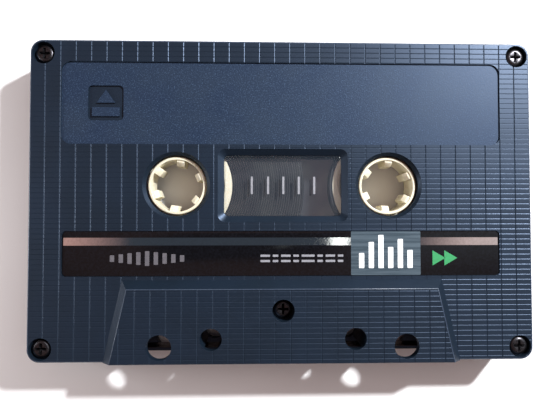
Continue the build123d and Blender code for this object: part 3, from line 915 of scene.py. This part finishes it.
@dataclass
class PrintedStrip:
    """The black strip below the window, with its foil line, grey badge and plain printed signs."""

    face: Face
    foil: Rectangle = (-43.3, 43.3, -9.03, -7.49)
    badge: Rectangle = (13.6, 27.6, -15.0, -6.25)
    badge_bars: tuple[float, ...] = (3.0, 5.2, 6.6, 4.2, 5.8, 3.6)
    bar_width: float = 1.05
    bar_step: float = 1.95
    badge_low: float = -13.6
    level_start: float = -34.2
    level_step: float = 1.72
    level_heights: tuple[float, ...] = (1.3, 1.7, 2.1, 2.5, 2.9, 2.5, 2.1, 1.7, 1.3)
    level_middle: float = -11.6
    dash_start: float = -4.5
    dash_widths: tuple[float, ...] = (1.9, 1.1, 1.9, 1.1, 2.6, 1.1, 1.9, 1.1)
    dash_gap: float = 0.55
    dash_half: float = 0.22
    dash_rows: tuple[float, float] = (-12.15, -11.1)
    arrow_places: tuple[float, float] = (30.9, 33.3)
    arrow_middle: float = -11.6
    arrow_radius: float = 1.75
    foil_round: float = 0.1
    badge_round: float = 0.15
    bar_round: float = 0.12
    dash_round: float = 0.08
    edge: float = 0.03
    ink: float = 0.012

    def build(self) -> list[bpy.types.Object]:
        """Makes the strip and what is printed on it and returns them."""
        node = f"{self.face.value}_label"
        film = rounded_copy(node, self.edge)
        pieces = [add_piece(film, f"{node}_film", [STRIP_BLACK], replaced=[node])]
        layers = (
            ("foil_line", STRIPE_FOIL, [self.foil], self.foil_round, 0, 1),
            ("badge", BADGE_GREY, [self.badge], self.badge_round, 0, 2),
            ("badge_bars", INK_WHITE, self.place_badge_bars(), self.bar_round, 2, 3),
            ("level_bars", INK_DIM, self.place_level_bars(), self.bar_round, 0, 1),
            ("dashes", INK_GREY, self.place_dashes(), self.dash_round, 0, 1),
        )
        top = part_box("front_label")[1].z / MM
        for name, finish, places, corner, under, over in layers:
            mesh = bmesh.new()
            for x0, x1, y0, y1 in places:
                add_block(mesh, (x0, y0, top + under * self.ink), (x1, y1, top + over * self.ink), corner)
            pieces.append(self.add_print(mesh, f"{node}_{name}", finish))
        return pieces + [self.add_print(self.draw_arrows(top), f"{node}_arrows", INK_GREEN)]

    def add_print(self, mesh: bmesh.types.BMesh, name: str, finish: Finish) -> bpy.types.Object:
        """Puts what is printed on this face and makes it a piece, which it returns."""
        bmesh.ops.transform(mesh, matrix=self.face.turn(), verts=mesh.verts)
        return add_piece(mesh, name, [finish])

    def place_badge_bars(self) -> list[Rectangle]:
        """Gives the white bars of different heights on the badge."""
        middle = (self.badge[0] + self.badge[1]) / 2
        first = middle - self.bar_step * (len(self.badge_bars) - 1) / 2 - self.bar_width / 2
        places = []
        for index, height in enumerate(self.badge_bars):
            x = first + index * self.bar_step
            places.append((x, x + self.bar_width, self.badge_low, self.badge_low + height))
        return places

    def place_level_bars(self) -> list[Rectangle]:
        """Gives the row of thin bars at the strip's left."""
        places = []
        for index, height in enumerate(self.level_heights):
            x, half = self.level_start + index * self.level_step, height / 2
            places.append((x, x + self.level_step / 2, self.level_middle - half, self.level_middle + half))
        return places

    def place_dashes(self) -> list[Rectangle]:
        """Gives the two rows of short dashes in the strip's middle."""
        places = []
        for row in self.dash_rows:
            x = self.dash_start
            for width in self.dash_widths:
                places.append((x, x + width, row - self.dash_half, row + self.dash_half))
                x += width + self.dash_gap
        return places

    def draw_arrows(self, bottom: float) -> bmesh.types.BMesh:
        """Draws the two arrowheads right of the badge.

        Args:
            bottom: The height of their underside, in millimetres.

        Returns:
            The arrowheads' mesh.
        """
        mesh = bmesh.new()
        radius = self.arrow_radius * MM
        for x in self.arrow_places:
            place = Matrix.Translation((x * MM, self.arrow_middle * MM, (bottom + self.ink / 2) * MM))
            bmesh.ops.create_cone(
                mesh, cap_ends=True, segments=3, radius1=radius, radius2=radius, depth=self.ink * MM,
                matrix=place @ Matrix.Rotation(-math.pi / 2, 4, "Z"),
            )
        return mesh


# ---------------------------------------------------------------- reels and tape
@dataclass
class Reel:
    """A hub with its leader clip and the tape wound on it."""

    hand: Hand
    inner_radius: float = 11.0
    ring_pitch: float = 0.22
    scatter: float = 0.02  # how far a turn lies below its neighbours at most
    steps: int = 144
    hub_edge: float = 0.10
    clip_edge: float = 0.12

    def build(self) -> list[bpy.types.Object]:
        """Makes the hub, the clip and the pack and returns them."""
        side, body = self.hand.value, f"{self.hand.value}_reel"
        hub, clip, pack = f"{side}_hub", f"{side}_leader_clip", f"{side}_tape_pack"
        return [
            add_piece(rounded_copy(hub, self.hub_edge), f"{hub}_moulded", [HUB_IVORY], body, [hub]),
            add_piece(rounded_copy(clip, self.clip_edge), f"{clip}_moulded", [HUB_IVORY], body, [clip]),
            add_piece(self.wind(pack), f"{pack}_wound", [self.finish(pack)], body, [pack]),
        ]

    def finish(self, pack: str) -> Finish:
        """Gives the wound tape's finish, with its rings round the hub's centre.

        Args:
            pack: The pack's node.

        Returns:
            The finish.
        """
        low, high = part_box(pack)
        centre = ((low.x + high.x) / 2 / MM, (low.y + high.y) / 2 / MM)
        # The second colour tints the rings and also paints the spokes' sheen.
        return WoundTape(f"wound_oxide_tape_{self.hand.value}", "#171617", "#2b2a2c", centre)

    def wind(self, pack: str) -> bmesh.types.BMesh:
        """Spins the pack's section, whose turns lie a little unevenly.

        Args:
            pack: The pack's node.

        Returns:
            The pack's mesh, in place.
        """
        low, high = (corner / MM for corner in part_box(pack))
        centre = (low + high) / 2
        outer = (high.x - low.x) / 2
        chance = random.Random(11 + len(self.hand.value))
        count = max(3, round((outer - self.inner_radius) / self.ring_pitch))
        radii = [self.inner_radius + (outer - self.inner_radius) * step / count for step in range(count + 1)]
        top = [(radius, high.z - chance.uniform(0, self.scatter)) for radius in radii]
        bottom = [(radius, low.z + chance.uniform(0, self.scatter)) for radius in reversed(radii)]
        mesh = bmesh.new()
        section = [
            mesh.verts.new(((centre.x + radius) * MM, centre.y * MM, z * MM)) for radius, z in top + bottom
        ]
        edges = [mesh.edges.new(pair) for pair in zip(section, section[1:] + section[:1])]
        bmesh.ops.spin(
            mesh, geom=section + edges, cent=(centre.x * MM, centre.y * MM, 0), axis=(0, 0, 1),
            angle=math.tau, steps=self.steps, use_merge=True, use_duplicate=False,
        )
        bmesh.ops.remove_doubles(mesh, verts=mesh.verts, dist=TINY)
        bmesh.ops.recalc_face_normals(mesh, faces=mesh.faces)
        smooth_but_sharp(mesh, 30.0)
        return mesh


@dataclass
class GuideRoller:
    """A guide roller on its steel pin."""

    hand: Hand
    roller_edge: float = 0.10
    pin_edge: float = 0.12

    def build(self) -> list[bpy.types.Object]:
        """Makes the roller and the pin and returns them."""
        roller, pin = f"{self.hand.value}_guide_roller", f"{self.hand.value}_roller_pin"
        body = f"{self.hand.value}_roller"
        drum, axle = rounded_copy(roller, self.roller_edge), rounded_copy(pin, self.pin_edge)
        return [
            add_piece(drum, f"{roller}_moulded", [ROLLER_WHITE], body, [roller]),
            add_piece(axle, f"{pin}_ground", [PIN_STEEL], "shell", [pin]),
        ]


# ---------------------------------------------------------------- pressure pad, spring and shield
@dataclass
class PressureUnit:
    """The felt pad, the two arms of the leaf spring that carries it, and the shield behind them."""

    arm_end: float = 10.25
    bend_outer: float = 8.3
    bend_inner: float = 3.6
    arm_back: float = -26.77
    flat_front: float = -27.32
    sheet: float = 0.15
    slot_half: float = 0.55
    slot_inner: float = 4.2
    slot_outer: float = 8.1
    pad_cuts: int = 9
    pad_round: float = 0.35
    pad_front: float = 0.9  # how far behind its middle the pad's fuzzy surface ends
    fuzz: float = 0.05
    shield_edge: float = 0.06

    def build(self) -> list[bpy.types.Object]:
        """Makes the pad, the spring's arms and the shield and returns them."""
        pieces = [self.build_pad()]
        pieces += [self.build_arm(hand) for hand in Hand]
        node = "magnetic_shield"
        shield = rounded_copy(node, self.shield_edge)
        return pieces + [add_piece(shield, f"{node}_rolled", [SHIELD_NICKEL], "shell", [node])]

    def build_pad(self) -> bpy.types.Object:
        """Makes the felt pad, with rounded edges and a fuzzy surface, and returns it."""
        low, high = (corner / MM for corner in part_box("pressure_pad"))
        mesh = bmesh.new()
        add_block(mesh, tuple(low), tuple(high))
        bevel(mesh, mesh.edges[:], self.pad_round, segments=3)
        bmesh.ops.subdivide_edges(mesh, edges=mesh.edges[:], cuts=self.pad_cuts, use_grid_fill=True)
        mesh.normal_update()
        chance = random.Random(5)
        middle = (low.y + high.y) / 2 * MM
        for corner in mesh.verts:
            if corner.co.y < middle + self.pad_front * MM:
                corner.co -= corner.normal * chance.uniform(0, self.fuzz) * MM
        smooth_but_sharp(mesh, 80.0)
        pad = add_piece(mesh, "felt_pressure_pad", [PAD_FELT], "pad", ["pressure_pad"])
        return pad

    def spring_y(self, x: float) -> float:
        """Gives where the spring's front surface is.

        Args:
            x: The distance from the middle, in millimetres.

        Returns:
            The surface's place along Y, in millimetres.
        """
        share = (abs(x) - self.bend_inner) / (self.bend_outer - self.bend_inner)
        share = min(1.0, max(0.0, share))
        return self.flat_front + (self.arm_back - self.flat_front) * share

    def build_arm(self, hand: Hand) -> bpy.types.Object:
        """Makes one arm of the leaf spring, which bends between the shell and the pad.

        Args:
            hand: The arm's side.

        Returns:
            The arm.
        """
        low, high = (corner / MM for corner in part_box("pressure_spring"))
        length, height = self.arm_end, high.z - low.z
        sign = hand.sign()
        place = Matrix.Translation((sign * length / 2 * MM, 0, THICKNESS / 2))
        place = place @ Matrix.Rotation(math.pi / 2, 4, "X")
        place = place @ Matrix.Diagonal((length * MM, height * MM, 1, 1))
        mesh = bmesh.new()
        bmesh.ops.create_grid(mesh, x_segments=41, y_segments=8, size=0.5, matrix=place)
        bmesh.ops.remove_doubles(mesh, verts=mesh.verts, dist=TINY)
        for corner in mesh.verts:
            corner.co.y = self.spring_y(corner.co.x / MM) * MM
        opened = [part for part in mesh.faces if self.in_slot(part.calc_center_median() / MM)]
        bmesh.ops.delete(mesh, geom=opened, context="FACES")
        bmesh.ops.recalc_face_normals(mesh, faces=mesh.faces)
        if sum(part.normal.y for part in mesh.faces) > 0:
            bmesh.ops.reverse_faces(mesh, faces=mesh.faces)
        bmesh.ops.solidify(mesh, geom=mesh.faces[:], thickness=self.sheet * MM)
        bmesh.ops.recalc_face_normals(mesh, faces=mesh.faces)
        smooth_but_sharp(mesh, 30.0)
        name = f"pressure_spring_{hand.value}_arm"
        arm = add_piece(mesh, name, [SPRING_BRONZE], None, ["pressure_spring"])
        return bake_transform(arm)

    def in_slot(self, centre: Vector) -> bool:
        """Says whether a face of the spring lies in the slot that is punched in each arm."""
        along = self.slot_inner < abs(centre.x) < self.slot_outer
        return along and abs(centre.z - THICKNESS / 2 / MM) < self.slot_half


# ---------------------------------------------------------------- fastening and hidden sheets
@dataclass
class Fastening:
    """The five screws."""

    screws: tuple[str, ...] = (
        "screw_back_left", "screw_back_right", "screw_front_left", "screw_front_right", "screw_centre"
    )
    edge: float = 0.09

    def build(self) -> list[bpy.types.Object]:
        """Makes the screws and returns them."""
        return [
            add_piece(
                rounded_copy(name, self.edge), f"{name}_blackened", [SCREW_BLACK], replaced=[name]
            )
            for name in self.screws
        ]


@dataclass
class Sheets:
    """The slip sheets on both sides of the packs, and the free tape between them."""

    liners: tuple[str, ...] = ("front_liner", "rear_liner")

    def build(self) -> list[bpy.types.Object]:
        """Dresses the sheets and the free tape and returns them."""
        pieces = [dress_node(node, SLIP_SHEET) for node in self.liners]
        return pieces + [dress_node("tape_span", TAPE_FREE)]


# ---------------------------------------------------------------- studio
@dataclass
class Studio:
    """The table, the lights and the camera."""

    floor_size: float = 3000.0
    key_at: tuple[float, float, float] = (205.0, 165.0, 235.0)
    key_size: float = 26.0
    key_power: float = 2.85
    fill_at: tuple[float, float, float] = (-165.0, -5.0, 60.0)
    fill_towards: tuple[float, float, float] = (-58.0, -5.0, 0.0)
    fill_size: float = 60.0
    fill_power: float = 0.12
    lamp_slopes: tuple[float, float, float, float] = (0.150, 0.182, -0.12, 0.02)
    patch_slopes: tuple[float, float, float, float] = (-0.32, 0.37, -0.32, 0.22)
    pane_slopes: tuple[float, float, float, float] = (0.62, 1.9, -0.3, 1.6)
    camera_at: tuple[float, float, float] = (-4.88, -3.58, 108.17)
    camera_ahead: tuple[float, float, float] = (0.0273, 0.0283, -0.9992)
    camera_up: tuple[float, float, float] = (-0.0006, 0.9996, 0.0283)
    lens: float = 32.52

    def build(self) -> list[bpy.types.Object]:
        """Sets the whole studio up and returns its objects."""
        self.light_world()
        key = self.build_light("key", self.key_at, (0, 0, 0), self.key_size, self.key_power)
        fill = self.build_light("fill", self.fill_at, self.fill_towards, self.fill_size, self.fill_power)
        return [self.build_floor(), key, fill, self.build_camera()]

    def build_floor(self) -> bpy.types.Object:
        """Makes the table top and returns it."""
        mesh = bmesh.new()
        bmesh.ops.create_grid(mesh, x_segments=4, y_segments=4, size=self.floor_size / 2 * MM)
        data = bpy.data.meshes.new("table_top")
        mesh.to_mesh(data)
        mesh.free()
        data.materials.append(TABLE_WHITE.material())
        floor = add_object("table_top", data)
        return floor

    def build_light(
        self, name: str, place: Sequence[float], towards: Sequence[float], size: float, power: float
    ) -> bpy.types.Object:
        """Makes a round soft light.

        Args:
            name: The light's name.
            place: Where it is, in millimetres.
            towards: The point that it faces, in millimetres.
            size: Its diameter, in millimetres.
            power: Its power, in watts.

        Returns:
            The light.
        """
        data = bpy.data.lights.new(name, "AREA")
        data.shape = "DISK"
        data.size = size * MM
        data.energy = power
        data.color = linear("#f8fbff")[:3]
        light = add_object(name, data)
        light.location = Vector(place) * MM
        light.rotation_euler = (Vector(place) - Vector(towards)).to_track_quat("Z", "Y").to_euler()
        return light

    def light_world(self) -> None:
        """Lights the room: dim walls, a warm ceiling with a dark patch and a lamp in it, and a window."""
        world = bpy.data.worlds.new("room")
        bpy.context.scene.world = world
        world.use_nodes = True
        tree = world.node_tree
        tree.nodes.clear()
        place = add_node(tree, "TexCoord").outputs["Generated"]
        parts = add_node(tree, "SeparateXYZ", {}, {"Vector": place}).outputs
        up = add_node(tree, "Math", {1: 0.001}, {0: parts["Z"]}, operation="MAXIMUM").outputs[0]
        slopes = [
            add_node(tree, "Math", {}, {0: parts[axis], 1: up}, operation="DIVIDE").outputs[0]
            for axis in "XY"
        ]
        ceiling = mixed(tree, ranged(tree, slopes[0], (0.25, 0.45), (0, 1)), "#c9a29c", "#dccccc")
        colour = mixed(tree, ranged(tree, up, (0.55, 0.85), (0, 1)), "#463e3a", ceiling)
        colour = mixed(tree, self.window_mask(tree, slopes, self.pane_slopes, 0.15), colour, "#f2f8ff")
        colour = mixed(tree, self.window_mask(tree, slopes, self.patch_slopes, 0.06), colour, "#3c4550")
        lamp = self.window_mask(tree, slopes, self.lamp_slopes, 0.008)
        sky = add_node(tree, "Background", {"Strength": 1.0}, {"Color": colour})
        bright = add_node(tree, "Background", {"Color": linear("#f6ffff"), "Strength": 2.6})
        both = add_node(tree, "MixShader", {}, {0: lamp, 1: sky.outputs[0], 2: bright.outputs[0]})
        add_node(tree, "OutputWorld", links={"Surface": both.outputs[0]})

    def window_mask(
        self, tree: bpy.types.NodeTree, slopes: Sequence[bpy.types.NodeSocket],
        sides: tuple[float, float, float, float], soft: float,
    ) -> bpy.types.NodeSocket:
        """Masks a rectangle of the sky, in steps of X and Y for each step up.

        Args:
            tree: The world's node tree.
            slopes: The sockets of the two slopes.
            sides: The rectangle's least and greatest slope in X, then in Y.
            soft: The width of its soft edge.

        Returns:
            The socket of the mask, 1 inside and 0 outside.
        """
        mask = None
        for slope, low, high in ((slopes[0], *sides[:2]), (slopes[1], *sides[2:])):
            for edge, sign in ((low, 1), (high, -1)):
                step = ranged(tree, slope, (edge - sign * soft, edge + sign * soft), (0, 1))
                mask = step if mask is None else add_node(
                    tree, "Math", {}, {0: mask, 1: step}, operation="MULTIPLY"
                ).outputs[0]
        return mask

    def build_camera(self) -> bpy.types.Object:
        """Makes the camera, which looks nearly straight down, and returns it."""
        data = bpy.data.cameras.new("camera")
        data.lens = self.lens
        data.sensor_width = 36.0
        data.clip_start = 0.005
        data.clip_end = 20.0
        camera = add_object("camera", data)
        back = -Vector(self.camera_ahead).normalized()
        right = Vector(self.camera_up).cross(back).normalized()
        up = back.cross(right)
        turn = Matrix((right, up, back)).transposed().to_4x4()
        camera.matrix_world = Matrix.Translation(Vector(self.camera_at) * MM) @ turn
        bpy.context.scene.camera = camera
        return camera


def main() -> None:
    """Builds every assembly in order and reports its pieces."""
    logging.basicConfig(level=logging.INFO, format="%(message)s")
    bpy.context.scene.view_settings.view_transform = "Standard"
    assemblies = [ShellHalf(face) for face in Face]
    assemblies += [Window(face) for face in Face]
    assemblies += [PrintedStrip(face) for face in Face]
    assemblies += [Reel(hand) for hand in Hand]
    assemblies += [GuideRoller(hand) for hand in Hand]
    assemblies += [PressureUnit(), Fastening(), Sheets(), Studio()]
    for assembly in assemblies:
        for piece in assembly.build():
            faces = len(piece.data.polygons) if piece.type == "MESH" else 0
            log.info("%s: %s, %d faces", type(assembly).__name__, piece.name, faces)


if __name__ == "__main__":
    main()
